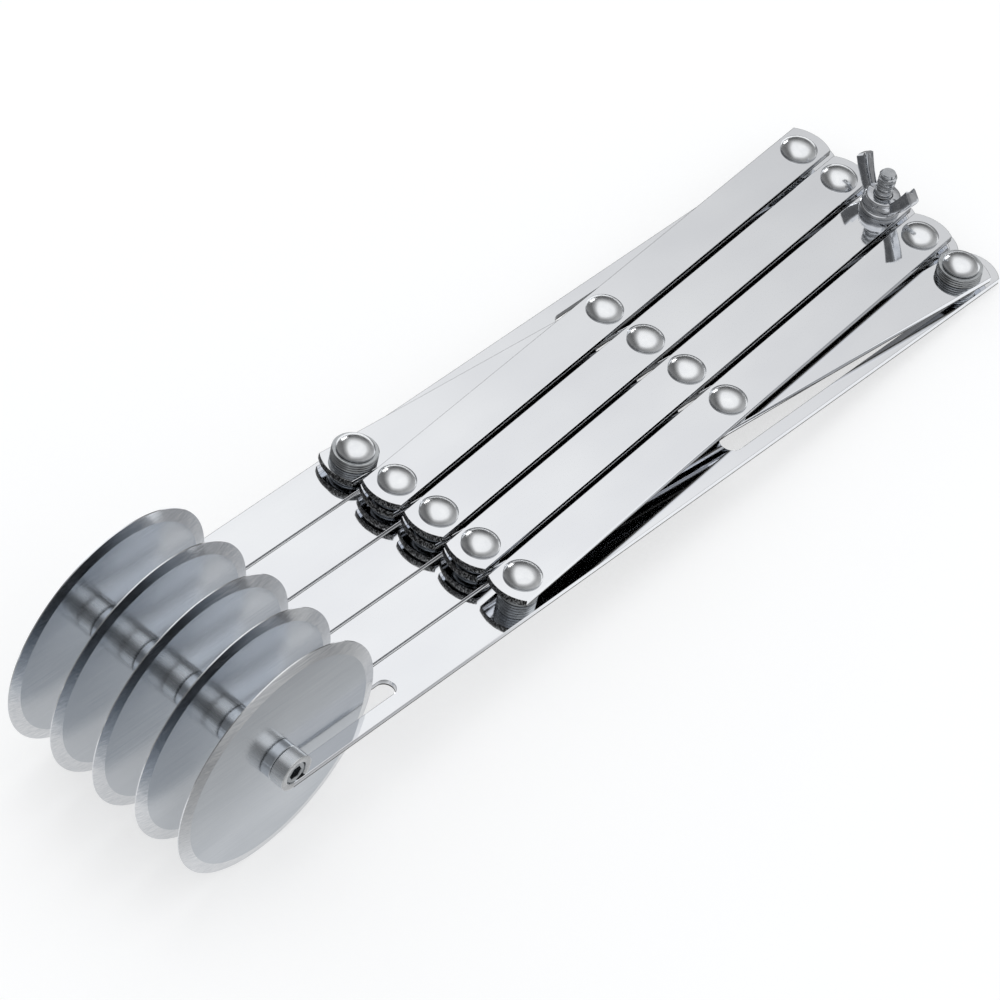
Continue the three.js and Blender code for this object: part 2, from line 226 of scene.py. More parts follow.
# Painted light for mirrors only: a painted pool round the wheels, and painted shade under the arms behind
# them.
painted_pool = ramp(tree, calc(tree, "DIVIDE", aside, PAINTED_POOL_REACH), PAINTED_POOL)
behind = spread(tree, spot["Y"], 0.0, 1.0, WHEELS_END, "SMOOTHSTEP")
painted_arm_shade = spread(tree, aside, 1 - UNDER_SHADE, 1.0, UNDER_ARMS, "SMOOTHSTEP")
bright = mix(tree, mirrored, rgb(WHITE), mix(tree, behind, painted_pool, painted_arm_shade))
paint = mix(tree, 1.0, rgb(TABLE_PAINT), bright, "MULTIPLY")
looked_at = calc(tree, "MAXIMUM", ray["Is Camera Ray"], mirrored)
matt = add(tree, "ShaderNodeBsdfDiffuse", (), {"Color": paint})
own = add(tree, "ShaderNodeEmission", (),
          {"Color": bright, "Strength": calc(tree, "MULTIPLY", looked_at, TABLE_LIFT)})
both = add(tree, "ShaderNodeAddShader", (), {0: matt.outputs[0], 1: own.outputs[0]})
add(tree, "ShaderNodeOutputMaterial", (), {"Surface": both.outputs[0]})

table_shape = bmesh.new()
bmesh.ops.create_circle(table_shape, cap_ends=True, segments=TABLE_SIDES, radius=TABLE_RADIUS,
                        matrix=Matrix.Translation((0, 0, -TABLE_DROP)))
table_mesh = bpy.data.meshes.new("table")
table_shape.to_mesh(table_mesh)
table_shape.free()
table_mesh.materials.append(table_paint)
table = bpy.data.objects.new("table", table_mesh)
scene.collection.objects.link(table)

# Lamps: name, place, width, height, power and whether a mirror shows them. The glow of the ceiling stands for
# the softbox there.
LAMPS = [
    ("ceiling_softbox", Vector((-0.15, 0.15, 1.6)), 0.9, 0.9, 3.6, False),
    ("low_window", Vector((-1.31, 0.66, 0.36)), 0.35, 0.2, 1.3, True),
]
for name, place, width, height, power, shown_in_mirrors in LAMPS:
    lamp_data = bpy.data.lights.new(name, "AREA")
    lamp_data.shape = "RECTANGLE"
    lamp_data.size = width
    lamp_data.size_y = height
    lamp_data.energy = power
    lamp = bpy.data.objects.new(name, lamp_data)
    lamp.visible_glossy = shown_in_mirrors
    lamp.matrix_world = Matrix.Translation(place) @ (-place).to_track_quat("-Z", "Y").to_matrix().to_4x4()
    scene.collection.objects.link(lamp)


# Arms
# Five flat strips of stainless sheet, blanked, mirror polished and forked at the front. The two tines are
# rolled up and back into an eye for the axle; a long slot at the rear guides the sliding pivot.
# Their rear ends keep the dark grain of the shear.
ARM_COUNT = 5
MIDDLE_ARM = 3
ARM_WIDTH = 10.9
ARM_THICK = 1.5
ARM_EDGE = 0.12
ARM_BREAK = 0.42
ARM_END_RISE = 2.4
ARM_REAR = 11.0
FORK_HALF = 2.1
FORK_CLEAR = 7.3
EYE_RADIUS = 2.7
EYE_WRAP = math.radians(305.7)
EYE_ROWS = 44
EYE_LEAD = 0.6
PIVOT_HOLE = 2.15
SLOT_RADIUS = 2.5
SLOT_TRAVEL = 76.475
WHEEL_RADIUS = 27.5
ARC_STEPS = 24
EDGE_STEPS = 2
HARD_CORNER = math.radians(32)
FLAT_FACE = 0.95
INSIDE_ONLY = 1
SAME_POINT = 1e-6
BROKEN_METAL = 0.4

JOINTS = {joint["name"]: joint for joint in frame["joints"]}
pivot_axis = Vector(JOINTS["tongs_open"]["axis"]).normalized()
if pivot_axis.z < 0:
    pivot_axis = -pivot_axis
TILT = math.atan2(pivot_axis.y, pivot_axis.z)
# From millimetres along the sloping tool, measured from the middle front pivot at the arms' top face, to the
# frame.
ROW = Matrix.Translation(JOINTS["tongs_open"]["pos_m"]) @ Matrix.Rotation(-TILT, 4, "X") @ Matrix.Scale(MM, 4)
to_tool = ROW.inverted()
AXLE = to_tool @ Vector(JOINTS[f"wheel_spin_{MIDDLE_ARM}"]["pos_m"])
REAR_ROW = (to_tool @ Vector(JOINTS["wing_nut_turn"]["pos_m"])).y
ARM_X = [JOINTS[f"wheel_spin_{arm}"]["pos_m"][0] / MM for arm in range(1, ARM_COUNT + 1)]
PIVOT_TOP = 0.0


def arc(centre, radius, start, end, steps):
    """Points on an arc about (0, centre), both ends included."""
    turns = [start + (end - start) * k / steps for k in range(steps + 1)]
    return [(radius * math.cos(turn), centre + radius * math.sin(turn)) for turn in turns]


def end_arc(width, rise, tip, inset):
    """The bowed rear end of a strip, from its right corner to its left one."""
    radius = (width * width / 4 + rise * rise) / (2 * rise)
    corner = math.acos((width / 2 - inset) / (radius - inset))
    return arc(tip - radius, radius - inset, corner, math.pi - corner, ARC_STEPS)


def circle(centre, radius):
    """A round hole in a strip."""
    return arc(centre, radius, 0, 2 * math.pi, 2 * ARC_STEPS)[:-1]


def inside(point, loop):
    """Whether a point lies within a closed loop."""
    count = 0
    for (x1, y1), (x2, y2) in zip(loop, loop[1:] + loop[:1]):
        if (y1 > point.y) != (y2 > point.y):
            count += point.x < x1 + (x2 - x1) * (point.y - y1) / (y2 - y1)
    return count % 2 == 1


def plate(outlines, low, high, edge, torn, rows=()):
    """A plate between two levels. outlines(inset) gives its rim and holes, whose edges are rounded off.

    The lower part of its walls, up to torn, is a band of its own."""
    shape = bmesh.new()
    turns = [math.pi / 2 * k / EDGE_STEPS for k in range(EDGE_STEPS + 1)]
    drops = [(edge * (1 - math.sin(turn)), edge * (1 - math.cos(turn))) for turn in turns]
    stations = [(inset, low + drop) for inset, drop in drops] + [(0, low + torn)]
    stations += [(inset, high - drop) for inset, drop in reversed(drops)]
    layers = []
    for inset, height in stations:
        layers.append([[shape.verts.new((x, y, height)) for x, y in loop] for loop in outlines(inset)])
    for below, above in zip(layers, layers[1:]):
        for lower, upper in zip(below, above):
            for k in range(len(lower)):
                shape.faces.new((lower[k - 1], lower[k], upper[k], upper[k - 1]))
    loops = outlines(edge)
    points = [Vector(point) for loop in loops for point in loop]
    borders = []
    for loop in loops:
        first = len(borders)
        borders += [(first + k, first + (k + 1) % len(loop)) for k in range(len(loop))]
    _, _, faces, sources, _, _ = delaunay_2d_cdt(points, borders + list(rows), [], INSIDE_ONLY, SAME_POINT)
    for corners in faces:
        picked = [sources[corner][0] for corner in corners]
        middle = sum((points[k] for k in picked), Vector((0, 0))) / len(picked)
        if any(inside(middle, hole) for hole in loops[1:]):
            continue
        for layer in (layers[0], layers[-1]):
            verts = [vert for loop in layer for vert in loop]
            shape.faces.new([verts[k] for k in picked])
    for layer in (layers[0], layers[-1]):
        for loop in layer:
            for k in range(len(loop)):
                shape.edges.get((loop[k - 1], loop[k])).smooth = False
    shape.normal_update()
    return shape


def mesh_of(shape, name, finishes, hard=HARD_CORNER):
    """The finished mesh of a bmesh: faces out, smooth but for its hard corners, with its finishes."""
    bmesh.ops.recalc_face_normals(shape, faces=shape.faces[:])
    for face in shape.faces:
        face.smooth = True
    for edge in shape.edges:
        if edge.calc_face_angle(0) > hard:
            edge.smooth = False
    mesh = bpy.data.meshes.new(name)
    shape.to_mesh(mesh)
    shape.free()
    for finish in finishes:
        mesh.materials.append(finish)
    return mesh


def fit(mesh, node, place):
    """A copy of a mesh in tool millimetres, set in its place.

    It stands for a CAD node and moves with its body."""
    placed = mesh.copy()
    placed.transform(ROW @ place)
    piece = bpy.data.objects.new(node + "_finished", placed)
    scene.collection.objects.link(piece)
    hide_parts(node)
    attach(piece, frame["nodes"][node]["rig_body"])
    return piece


def steel(name):
    """A bare metal finish: the material, its tree, its shader and the piece's own coordinates."""
    material = bpy.data.materials.new(name)
    material.use_nodes = True
    nodes = material.node_tree
    nodes.nodes.clear()
    own_place = add(nodes, "ShaderNodeTexCoord").outputs["Object"]
    shader = add(nodes, "ShaderNodeBsdfPrincipled", (), {"Metallic": 1.0})
    add(nodes, "ShaderNodeOutputMaterial", (), {"Surface": shader.outputs[0]})
    return material, nodes, shader, own_place


def grain(nodes, own_place, size, detail=2.0):
    """Noise with features of a given size in millimetres across, along and up the tool."""
    mapped = add(nodes, "ShaderNodeMapping", {"vector_type": "TEXTURE"},
                 {"Vector": own_place, "Rotation": (-TILT, 0, 0), "Scale": [side * MM for side in size]})
    return add(nodes, "ShaderNodeTexNoise", (),
               {"Vector": mapped.outputs[0], "Scale": 1.0, "Detail": detail}).outputs["Fac"]


def between(nodes, value, one, two, edges=NOISE_RANGE):
    """Noise turned into a mix of two colours."""
    return mix(nodes, spread(nodes, value, 0.0, 1.0, edges), rgb(one), rgb(two))


def dress(nodes, shader, colour, roughness, *reliefs):
    """Gives a finish its colour, its roughness and its reliefs, each a height and a depth in millimetres."""
    nodes.links.new(colour, shader.inputs["Base Color"])
    nodes.links.new(roughness, shader.inputs["Roughness"])
    under = {}
    for height, depth in reliefs:
        relief = {"Height": height, "Strength": 1.0, "Distance": depth * MM}
        bump = add(nodes, "ShaderNodeBump", (), {**relief, **under})
        under = {"Normal": bump.outputs[0]}
        nodes.links.new(bump.outputs[0], shader.inputs["Normal"])


# Mirror-polished stainless sheet: nearly a looking-glass. The rolled sheet stays very slightly wavy, with
# faint polishing lines along it and patches where fingers have dulled it.
mirror_steel, tree, shader, own_place = steel("mirror_polished_stainless_sheet")
smudge = grain(tree, own_place, (16, 34, 16))
lines = grain(tree, own_place, (0.3, 30, 0.3), 1.0)
waves = grain(tree, own_place, (9, 45, 9), 0.0)
dulled = calc(tree, "ADD", spread(tree, smudge, 0.03, 0.06), spread(tree, lines, 0.0, 0.025))
dress(tree, shader, between(tree, smudge, "#EBEDF1", "#F3F5F8"), dulled, (waves, 0.012), (lines, 0.0004))

# Rolled eye: the bend has stretched the polished skin, so it is duller, with faint marks along the roll.
rolled_steel, tree, shader, own_place = steel("rolled_stainless_sheet")
marks = grain(tree, own_place, (14, 0.35, 0.35))
skin = grain(tree, own_place, (2.5, 2.5, 2.5))
dress(tree, shader, between(tree, skin, "#DEE0E2", "#EAEBEC"), spread(tree, marks, 0.22, 0.32),
      (marks, 0.004))

# Sheared end: torn grain with dark pits and bright burrs, drawn a little coarser than it is so it shows.
sheared_steel, tree, shader, own_place = steel("sheared_stainless_edge")
torn = grain(tree, own_place, (0.25, 0.25, 0.5), 3.0)
dress(tree, shader, between(tree, torn, "#232323", "#B4B5B6", (0.45, 0.68)), spread(tree, torn, 0.50, 0.30),
      (torn, 0.06))

# Broken edge: the dull band that a blanking die leaves along the lower part of a cut side, painted darker and
# browner than it is as painted shade for the dark that the lower edges and the gaps between the layers
# reflect. It scatters light more than it mirrors it.
broken_edge_with_painted_shade, tree, shader, own_place = steel("die_broken_edge_with_painted_shade")
dull = grain(tree, own_place, (1.5, 1.5, 0.4))
dress(tree, shader, between(tree, dull, "#43403C", "#625E58"), spread(tree, dull, 0.38, 0.46))
shader.inputs["Metallic"].default_value = BROKEN_METAL

EYE_MIDDLE = EYE_RADIUS + ARM_THICK / 2
EYE_STEP = EYE_MIDDLE * EYE_WRAP / EYE_ROWS
FORK_END = AXLE.y + WHEEL_RADIUS + FORK_CLEAR - FORK_HALF
tine_rows = [AXLE.y + EYE_LEAD] + [AXLE.y - EYE_STEP * row for row in range(EYE_ROWS + 1)]


def arm_outlines(inset):
    """The strip before it is rolled: its forked outline, the pivot hole and the slot."""
    along = tine_rows[:-1] + [tine_rows[-1] + inset]
    outside = ARM_WIDTH / 2 - inset
    within = FORK_HALF + inset
    rim = [(outside, y) for y in reversed(along)]
    rim += end_arc(ARM_WIDTH, ARM_END_RISE, REAR_ROW + ARM_REAR, inset)
    rim += [(-outside, y) for y in along]
    rim += [(-within, y) for y in reversed(along)]
    rim += arc(FORK_END, within, math.pi, 0, ARC_STEPS)
    rim += [(within, y) for y in along]
    slot = arc(REAR_ROW, SLOT_RADIUS + inset, 0, math.pi, ARC_STEPS)
    slot += arc(REAR_ROW - SLOT_TRAVEL, SLOT_RADIUS + inset, math.pi, 2 * math.pi, ARC_STEPS)
    return [rim, circle(0, PIVOT_HOLE + inset), slot]


row_count = len(tine_rows)
left_start = row_count + ARC_STEPS + 1
right_start = left_start + 2 * row_count + ARC_STEPS + 1
cross_rows = []
for row in range(row_count - 1):
    cross_rows.append((left_start + row, left_start + 2 * row_count - 1 - row))
    cross_rows.append((row_count - 1 - row, right_start + row))
arm_shape = plate(arm_outlines, -ARM_THICK, PIVOT_TOP, ARM_EDGE, ARM_BREAK, cross_rows)
arm_end = REAR_ROW + ARM_REAR - ARM_END_RISE
arm_finishes = [mirror_steel, rolled_steel, sheared_steel, broken_edge_with_painted_shade]
for face in arm_shape.faces:
    middle = face.calc_center_median()
    finish = mirror_steel
    if middle.y < AXLE.y:
        finish = rolled_steel
    elif abs(face.normal.z) <= FLAT_FACE:
        if middle.y > arm_end - ARM_EDGE:
            finish = sheared_steel
        # The lower band of the side walls: the die's broken edge, darkened as painted shade.
        elif middle.z < ARM_BREAK - ARM_THICK:
            finish = broken_edge_with_painted_shade
    face.material_index = arm_finishes.index(finish)
for vert in arm_shape.verts:
    if vert.co.y < AXLE.y:
        turn = (AXLE.y - vert.co.y) / EYE_MIDDLE
        reach = AXLE.z - vert.co.z
        vert.co.y = AXLE.y - reach * math.sin(turn)
        vert.co.z = AXLE.z - reach * math.cos(turn)
arm_mesh = mesh_of(arm_shape, "arm", arm_finishes)
for arm, x in enumerate(ARM_X, 1):
    fit(arm_mesh, f"arm_{arm}", Matrix.Translation((x, 0, 0)))


# Cutting wheels
# Five discs of stainless sheet, ground satin with straight lines and bevelled on both faces to a thin edge.
# Each turns freely on its axle, and its short hub keeps it midway between the two tines of an arm.
WHEEL_THICK = 1.4
WHEEL_BORE = 2.75
HUB_RADIUS = 4.1
HUB_LENGTH = 1.2
WHEEL_BEVEL = 2.7
WHEEL_LAND = 0.25
WHEEL_CHAMFER = 0.15
WHEEL_SIDES = 192
WHEEL_CORNER = math.radians(6)


def turned(profile, sides, closed=False):
    """A shape turned about X from (along, radius) points. A radius may be a function of the angle."""
    shape = bmesh.new()
    rings = []
    for along, radius in profile:
        ring = []
        for k in range(1 if radius == 0 else sides):
            turn = 2 * math.pi * k / sides
            reach = radius(turn) if callable(radius) else radius
            ring.append(shape.verts.new((along, reach * math.cos(turn), reach * math.sin(turn))))
        rings.append(ring)
    for one, two in zip(rings, rings[1:] + rings[:1] if closed else rings[1:]):
        for k in range(sides):
            corners = [one[k - 1], one[k]] if len(one) > 1 else [one[0]]
            corners += [two[k], two[k - 1]] if len(two) > 1 else [two[0]]
            shape.faces.new(corners)
    return shape


# Satin-ground stainless: straight grinding lines as long as the disc is wide, which smear reflections.
# Real lines are some 0.05 mm apart, and are drawn four times as wide to show.
satin_steel, tree, shader, own_place = steel("satin_ground_stainless_disc")
lines = grain(tree, own_place, (0.2, 14, 0.2), 3.0)
cloud = grain(tree, own_place, (11, 18, 11))
shade = calc(tree, "ADD", spread(tree, lines, 0.0, 0.6), spread(tree, cloud, 0.0, 0.4))
dress(tree, shader, between(tree, shade, "#CBD0D6", "#DBDFE4", (0.0, 1.0)), spread(tree, lines, 0.12, 0.19),
      (lines, 0.006))

# Ground bevel: a brighter, finer cut than the disc's face, with short bright lines from the stone.
bevel_steel, tree, shader, own_place = steel("fine_ground_stainless_edge")
lines = grain(tree, own_place, (0.3, 6, 0.3), 2.0)
dress(tree, shader, between(tree, lines, "#DFE2E6", "#F6F7F9"), spread(tree, lines, 0.14, 0.22),
      (lines, 0.004))

half = WHEEL_THICK / 2
face_edge = WHEEL_RADIUS - WHEEL_BEVEL
wheel_side = [
    (half + HUB_LENGTH - WHEEL_CHAMFER, WHEEL_BORE),
    (half + HUB_LENGTH, WHEEL_BORE + WHEEL_CHAMFER),
    (half + HUB_LENGTH, HUB_RADIUS - WHEEL_CHAMFER),
    (half + HUB_LENGTH - WHEEL_CHAMFER, HUB_RADIUS),
    (half, HUB_RADIUS),
    (half, face_edge),
    (WHEEL_LAND / 2, WHEEL_RADIUS),
]
wheel_profile = [(-along, radius) for along, radius in wheel_side] + wheel_side[::-1]
wheel_shape = turned(wheel_profile, WHEEL_SIDES, closed=True)
wheel_finishes = [satin_steel, bevel_steel]
for face in wheel_shape.faces:
    on_bevel = face.calc_center_median().yz.length > face_edge
    face.material_index = wheel_finishes.index(bevel_steel if on_bevel else satin_steel)
wheel_mesh = mesh_of(wheel_shape, "wheel", wheel_finishes, WHEEL_CORNER)
for arm, x in enumerate(ARM_X, 1):
    fit(wheel_mesh, f"wheel_{arm}", Matrix.Translation((x, AXLE.y, AXLE.z)))


# Axle pins
# Five turned stainless pins, one through the rolled eyes of each arm, with a hex socket in the right end
# for the key that holds them while the eyes are closed.
PIN_RADIUS = 2.6
PIN_HALF = 5.25
PIN_CHAMFER = 0.3
SOCKET_FLATS = 2.9
SOCKET_DEPTH = 3.0
SOCKET_LEAD = 0.15
PIN_SIDES = 72

# Turned stainless: fine rings left by the lathe tool, wide apart enough to show.
turned_steel, tree, shader, own_place = steel("turned_stainless_steel")
rings = grain(tree, own_place, (0.18, 4, 4), 2.0)
spots = grain(tree, own_place, (1.2, 1.2, 1.2))
dress(tree, shader, between(tree, spots, "#B4B8BC", "#C9CCCF"), spread(tree, rings, 0.16, 0.28),
      (rings, 0.004))


def socket(turn):
    """Distance from the axis to the wall of the hex socket."""
    side = math.pi / 3
    return SOCKET_FLATS / 2 / math.cos(turn % side - side / 2)


def socket_mouth(turn):
    """The socket's mouth, opened a little by its lead-in."""
    return socket(turn) + SOCKET_LEAD


pin_mesh = mesh_of(turned([
    (-PIN_HALF, 0),
    (-PIN_HALF, PIN_RADIUS - PIN_CHAMFER),
    (PIN_CHAMFER - PIN_HALF, PIN_RADIUS),
    (PIN_HALF - PIN_CHAMFER, PIN_RADIUS),
    (PIN_HALF, PIN_RADIUS - PIN_CHAMFER),
    (PIN_HALF, socket_mouth),
    (PIN_HALF - SOCKET_LEAD, socket),
    (PIN_HALF - SOCKET_DEPTH, socket),
    (PIN_HALF - SOCKET_DEPTH, 0),
], PIN_SIDES), "axle_pin", [turned_steel])
for arm, x in enumerate(ARM_X, 1):
    fit(pin_mesh, f"axle_pin_{arm}", Matrix.Translation((x, AXLE.y, AXLE.z)))


# Links
# Eight flat bars of the same polished sheet, blanked with bowed ends. Four lower ones lean right and four
# upper ones lean left over them, and together they make the lazy tongs that keep the wheels evenly spaced.
LINK_LENGTH = 145.0
LINK_WIDTH = 10.0
LINK_THICK = 1.5
LINK_OVERHANG = 6.75
LINK_END_RISE = 1.6
LINK_EDGE = 0.12
LINK_BREAK = 0.42
LOWER_LINK = 1.2
UPPER_LINK = 3.7
LINK_LEAN = math.acos(REAR_ROW / LINK_LENGTH)


def link_outlines(inset):
    """A bar with bowed ends and three rivet holes, up the Y axis from its front pivot."""
    rear = end_arc(LINK_WIDTH, LINK_END_RISE, LINK_LENGTH + LINK_OVERHANG, inset)
    front = [(-x, LINK_LENGTH - y) for x, y in rear]
    holes = [circle(LINK_LENGTH * share, PIVOT_HOLE + inset) for share in (0, 0.5, 1)]
    return [rear + front] + holes


link_shape = plate(link_outlines, 0, LINK_THICK, LINK_EDGE, LINK_BREAK)
link_end = LINK_LENGTH / 2 + LINK_OVERHANG - LINK_END_RISE - LINK_EDGE
link_finishes = [mirror_steel, sheared_steel, broken_edge_with_painted_shade]
for face in link_shape.faces:
    middle = face.calc_center_median()
    at_end = abs(middle.y - LINK_LENGTH / 2) > link_end
    # The lower band of the side walls: the die's broken edge, darkened as painted shade.
    if abs(face.normal.z) < FLAT_FACE and (at_end or middle.z < LINK_BREAK):
        face.material_index = link_finishes.index(sheared_steel if at_end else broken_edge_with_painted_shade)
link_mesh = mesh_of(link_shape, "link", link_finishes)
for cell in range(ARM_COUNT - 1):
    lower = Matrix.Translation((ARM_X[cell], 0, LOWER_LINK)) @ Matrix.Rotation(-LINK_LEAN, 4, "Z")
    upper = Matrix.Translation((ARM_X[cell + 1], 0, UPPER_LINK)) @ Matrix.Rotation(LINK_LEAN, 4, "Z")
    fit(link_mesh, f"lower_link_{cell + 1}", lower)
    fit(link_mesh, f"upper_link_{cell + 1}", upper)


# Washers and spacers
# Punched stainless washers keep the layers of the tongs apart on every pivot. Where a link is missing at the
# end of a row, a pile of them fills its place, so that all the rivet heads lie level.
WASHER_BORE = 2.15
WASHER_RADIUS = 4.5
TALL_RADIUS = 4.0
WASHER_EDGE = 0.18
WASHER_GAP = 0.16
SEAT_GAP = 0.05
LOW_BASE = SEAT_GAP
LOW_TOP = LOWER_LINK - SEAT_GAP
MID_BASE = LOWER_LINK + LINK_THICK + SEAT_GAP
MID_TOP = UPPER_LINK - SEAT_GAP
LINKS_TOP = UPPER_LINK + LINK_THICK
CROSS_ROW = REAR_ROW / 2
RING_POINTS = 72


def new_tree(name, inputs):
    """A Geometry Nodes tree with named inputs: the tree, the inputs' sockets and the output's."""
    nodes = bpy.data.node_groups.new(name, "GeometryNodeTree")
    nodes.interface.new_socket("Geometry", in_out="OUTPUT", socket_type="NodeSocketGeometry")
    for label, kind in inputs.items():
        nodes.interface.new_socket(label, in_out="INPUT", socket_type="NodeSocket" + kind)
    return nodes, nodes.nodes.new("NodeGroupInput").outputs, nodes.nodes.new("NodeGroupOutput").inputs


def close_tree(nodes, end, geometry, material):
    """Ends a tree: smooth faces with hard corners kept, real geometry and its material."""
    smooth = add(nodes, "GeometryNodeSetShadeSmooth", {"domain": "FACE"}, {"Geometry": geometry})
    angle = add(nodes, "GeometryNodeInputMeshEdgeAngle").outputs["Unsigned Angle"]
    hard = add(nodes, "FunctionNodeCompare", {"data_type": "FLOAT", "operation": "GREATER_THAN"},
               {0: angle, 1: HARD_CORNER})
    crisp = add(nodes, "GeometryNodeSetShadeSmooth", {"domain": "EDGE"}, {
        "Geometry": smooth.outputs[0], "Selection": hard.outputs[0], "Shade Smooth": False,
    })
    real = add(nodes, "GeometryNodeRealizeInstances", (), {"Geometry": crisp.outputs[0]})
    done = add(nodes, "GeometryNodeSetMaterial", (), {"Geometry": real.outputs[0], "Material": material})
    nodes.links.new(done.outputs[0], end[0])


def grown(nodes, name, sizes):
    """The plain mesh that a tree gives for these sizes."""
    holder = bpy.data.objects.new(name, bpy.data.meshes.new(name + "_seed"))
    scene.collection.objects.link(holder)
    modifier = holder.modifiers.new("shape", "NODES")
    modifier.node_group = nodes
    for item in nodes.interface.items_tree:
        if item.in_out == "INPUT":
            modifier[item.identifier] = sizes[item.name]
    mesh = bpy.data.meshes.new_from_object(holder.evaluated_get(bpy.context.evaluated_depsgraph_get()))
    holder.modifiers.remove(modifier)
    bpy.data.objects.remove(holder)
    mesh.name = name
    return mesh


def up(nodes, height):
    """A vector straight up."""
    return add(nodes, "ShaderNodeCombineXYZ", (), {"Z": height}).outputs[0]


def moved(nodes, geometry, height, turn=0.0):
    """Geometry turned about X and then lifted."""
    return add(nodes, "GeometryNodeTransform", (), {
        "Geometry": geometry, "Translation": up(nodes, height), "Rotation": (turn, 0, 0),
    }).outputs[0]


# Punched stainless washer: bright sheet with clean cut edges, hardly marked by tumbling. Its colour is
# painted darker than the polished arms, as painted shade for the dark that the piles reflect.
shade_painted_washer_steel, tree, shader, own_place = steel("punched_washer_painted_shade")
tumbled = grain(tree, own_place, (1.2, 1.2, 0.3), 2.0)
dress(tree, shader, between(tree, tumbled, "#AEB1B4", "#C6C9CB"), spread(tree, tumbled, 0.14, 0.22),
      (tumbled, 0.003))

pile_tree, size, end = new_tree("washer_pile", {
    "Count": "Int", "Bore": "Float", "Radius": "Float", "Base": "Float", "Height": "Float",
    "Edge": "Float", "Gap": "Float", "Material": "Material",
})
pitch = calc(pile_tree, "DIVIDE", size["Height"], size["Count"])
thick = calc(pile_tree, "SUBTRACT", pitch, size["Gap"])
broad = calc(pile_tree, "SUBTRACT", size["Radius"], size["Bore"])
total = calc(pile_tree, "ADD", size["Radius"], size["Bore"])
section = add(pile_tree, "GeometryNodeCurvePrimitiveQuadrilateral", {"mode": "RECTANGLE"},
              {"Width": broad, "Height": thick})
soft = add(pile_tree, "GeometryNodeFilletCurve", {"mode": "POLY"},
           {"Curve": section.outputs[0], "Count": 1, "Radius": size["Edge"], "Limit Radius": True})
loop = add(pile_tree, "GeometryNodeCurvePrimitiveCircle", {"mode": "RADIUS"},
           {"Resolution": RING_POINTS, "Radius": calc(pile_tree, "MULTIPLY", total, 0.5)})
one = add(pile_tree, "GeometryNodeCurveToMesh", (),
          {"Curve": loop.outputs[0], "Profile Curve": soft.outputs[0]})
half_pitch = calc(pile_tree, "MULTIPLY", pitch, 0.5)
start = up(pile_tree, calc(pile_tree, "ADD", size["Base"], half_pitch))
stack = add(pile_tree, "GeometryNodeMeshLine", {"mode": "OFFSET"},
            {"Count": size["Count"], "Start Location": start, "Offset": up(pile_tree, pitch)})
piled = add(pile_tree, "GeometryNodeInstanceOnPoints", (),
            {"Points": stack.outputs[0], "Instance": one.outputs[0]})
solid = add(pile_tree, "GeometryNodeRealizeInstances", (), {"Geometry": piled.outputs[0]})
close_tree(pile_tree, end, solid.outputs[0], size["Material"])


def pile(count, radius, base, top):
    """A pile of washers between two levels."""
    return grown(pile_tree, "washer_pile", {
        "Count": count, "Bore": WASHER_BORE, "Radius": radius, "Base": base, "Height": top - base,
        "Edge": WASHER_EDGE, "Gap": WASHER_GAP, "Material": shade_painted_washer_steel,
    })


low_washer = pile(2, WASHER_RADIUS, LOW_BASE, LOW_TOP)
mid_washer = pile(2, WASHER_RADIUS, MID_BASE, MID_TOP)
top_spacer = pile(4, LINK_WIDTH / 2, MID_BASE, LINKS_TOP)
tall_spacer = pile(5, TALL_RADIUS, LOW_BASE, MID_TOP)
PILES = [
    (low_washer, "front_low_washer", 0, (1, 2, 3, 4)),
    (mid_washer, "front_mid_washer", 0, (2, 3, 4)),
    (top_spacer, "front_top_spacer", 0, (1,)),
    (tall_spacer, "front_tall_spacer", 0, (5,)),
    (low_washer, "rear_low_washer", REAR_ROW, (2, 3, 4, 5)),
    (mid_washer, "rear_mid_washer", REAR_ROW, (2, 3, 4)),
    (top_spacer, "rear_top_spacer", REAR_ROW, (5,)),
    (tall_spacer, "rear_tall_spacer", REAR_ROW, (1,)),
]
for mesh, name, y, numbers in PILES:
    for number in numbers:
        fit(mesh, f"{name}_{number}", Matrix.Translation((ARM_X[number - 1], y, 0)))
CROSS_X = [(one + two) / 2 for one, two in zip(ARM_X, ARM_X[1:])]
for number, x in enumerate(CROSS_X, 1):
    fit(mid_washer, f"cross_washer_{number}", Matrix.Translation((x, CROSS_ROW, 0)))


# Rivets
# Polished stainless rivets, thirteen in all, closed over every pivot with a full round head. Those of the
# front and rear rows have a round foot under the arm, and those of the crossings a low pan under the links.
HEAD_RADIUS = 4.1
HEAD_RISE = 2.0
HEAD_FULLNESS = 2.2
HEAD_RIM = 0.88
HEAD_LIP = 0.2
FOOT_RADIUS = 4.0
FOOT_RISE = 1.57
FOOT_FULLNESS = 2.0
FOOT_RIM = 0.95
FOOT_LIP = 0.0
PAN_RADIUS = 3.5
PAN_RISE = 0.7
PAN_FULLNESS = 8.0
PAN_RIM = 1.0
SHANK_RADIUS = 2.0
SHANK_SIDES = 48
DOME_SEGMENTS = 64
DOME_RINGS = 40
DOME_FLOOR = 0.0001
HEAD_SEAT = LINKS_TOP + SEAT_GAP
FOOT_SEAT = -ARM_THICK - SEAT_GAP

# Polished rivet head: closed by a die, so it is bright but a touch softer than the sheet, with tiny dents.
rivet_steel, tree, shader, own_place = steel("polished_stainless_rivet")
dents = grain(tree, own_place, (1.4, 1.4, 1.4), 1.0)
dress(tree, shader, between(tree, dents, "#EBEDF0", "#F3F5F7"), spread(tree, dents, 0.16, 0.22),
      (dents, 0.006))

